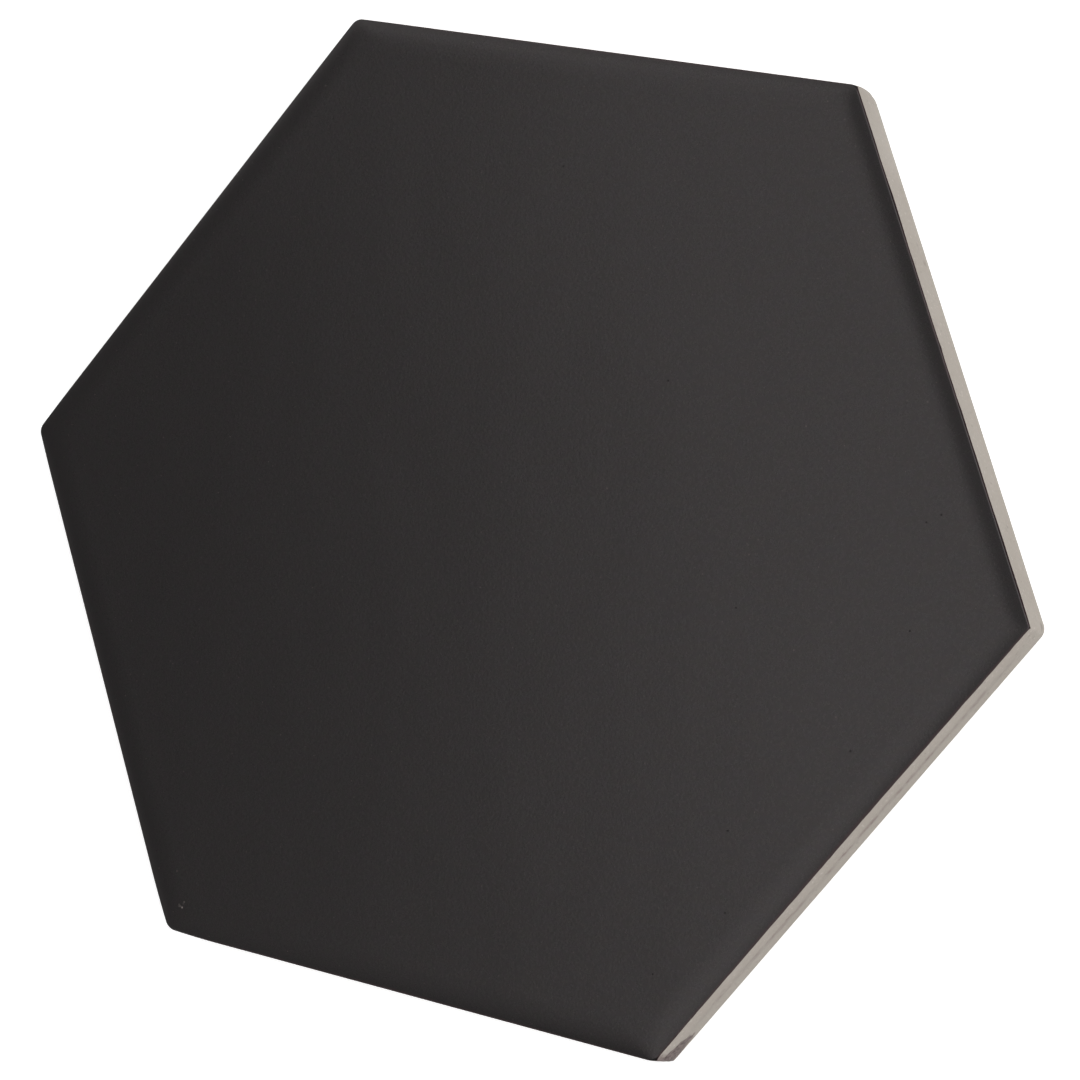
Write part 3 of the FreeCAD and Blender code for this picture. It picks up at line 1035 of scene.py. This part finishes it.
paper_white = Finish("white_paper")
seen_by_camera = paper_white.nodes.new("ShaderNodeLightPath").outputs["Is Camera Ray"]
paper_white.feed("Base Color", PAPER_WHITE)
paper_white.feed("Roughness", PAPER_ROUGHNESS)
paper_white.feed("Specular IOR Level", 0.0)
paper_white.feed("Emission Color", GLOW_WHITE)
paper_white.feed("Emission Strength", paper_white.work_out("MULTIPLY", seen_by_camera, PAPER_GLOW))
paper_mesh.materials.append(paper_white.material)
print("paper:", 2 * PAPER_HALF, "m wide")

# %% [markdown]
# The light is a small studio of soft panels, and the satin face mirrors them as a slow change from dark at
# its left to lighter at its right. A long strip hangs overhead. A panel like a window lights the two sides
# that show, and draws a thin line along the right arris. Two wide, weaker panels stand behind and before
# it, and two dim ones lift the left side and the middle. Each is set by where it hangs, as seen from the
# tile, its size, how it is turned and how bright it looks. Its power follows from that.

# %% Hang the soft panels
PANEL_DISTANCE = 1.5


def soft_panel(name, azimuth, elevation, width, length, turn, brightness):
    """A soft panel that faces the tile. Its brightness is that of a white surface in full light."""
    azimuth, elevation, turn = math.radians(azimuth), math.radians(elevation), math.radians(turn)
    outwards = Vector((
        math.cos(azimuth) * math.cos(elevation),
        math.sin(azimuth) * math.cos(elevation),
        math.sin(elevation),
    ))
    level = Vector((0, 0, 1)).cross(outwards).normalized()
    upright = outwards.cross(level)
    across = math.cos(turn) * level + math.sin(turn) * upright
    lengthways = outwards.cross(across)
    light = bpy.data.lights.new(name, "AREA")
    light.shape = "RECTANGLE"
    light.size = width
    light.size_y = length
    light.energy = math.pi * width * length * brightness
    panel = bpy.data.objects.new(name, light)
    bpy.context.scene.collection.objects.link(panel)
    facing = Matrix((across, lengthways, outwards)).transposed().to_4x4()
    panel.matrix_world = Matrix.Translation(outwards * PANEL_DISTANCE) @ facing
    return panel


panels = [
    soft_panel("long_strip_overhead", 184.2, 74.3, 0.505, 3.026, 51.4, 0.964),
    soft_panel("window_at_the_right", 318.9, 33.4, 1.304, 1.908, 93.4, 1.919),
    soft_panel("wide_panel_upper_right", 56.4, 36.6, 1.181, 3.126, 66.8, 0.666),
    soft_panel("wide_panel_lower_right", 269.2, 41.8, 1.475, 2.144, -54.0, 0.507),
    soft_panel("dim_panel_at_the_left", 174.6, 27.0, 0.749, 2.829, 84.5, 0.260),
    soft_panel("dim_strip_overhead", 293.4, 87.7, 0.676, 2.992, 41.9, 0.154),
]
print("panels:", [(panel.name, round(panel.data.energy, 2)) for panel in panels])

# %% [markdown]
# The room around the panels is dim, because a bright room would fill the dark parts of the sheen. The
# camera sees it white, like the paper, so that no horizon shows.

# %% The room
ROOM_LIGHT = 0.129
room = bpy.data.worlds.new("room")
bpy.context.scene.world = room
room.use_nodes = True
nodes, links = room.node_tree.nodes, room.node_tree.links
background = nodes["Background"]
background.inputs["Color"].default_value = (1, 1, 1, 1)
brightness = nodes.new("ShaderNodeMapRange")
brightness.inputs["To Min"].default_value = ROOM_LIGHT
brightness.inputs["To Max"].default_value = 1.0
links.new(nodes.new("ShaderNodeLightPath").outputs["Is Camera Ray"], brightness.inputs["Value"])
links.new(brightness.outputs["Result"], background.inputs["Strength"])
bpy.context.scene.view_settings.view_transform = "Standard"
print("room light:", ROOM_LIGHT)
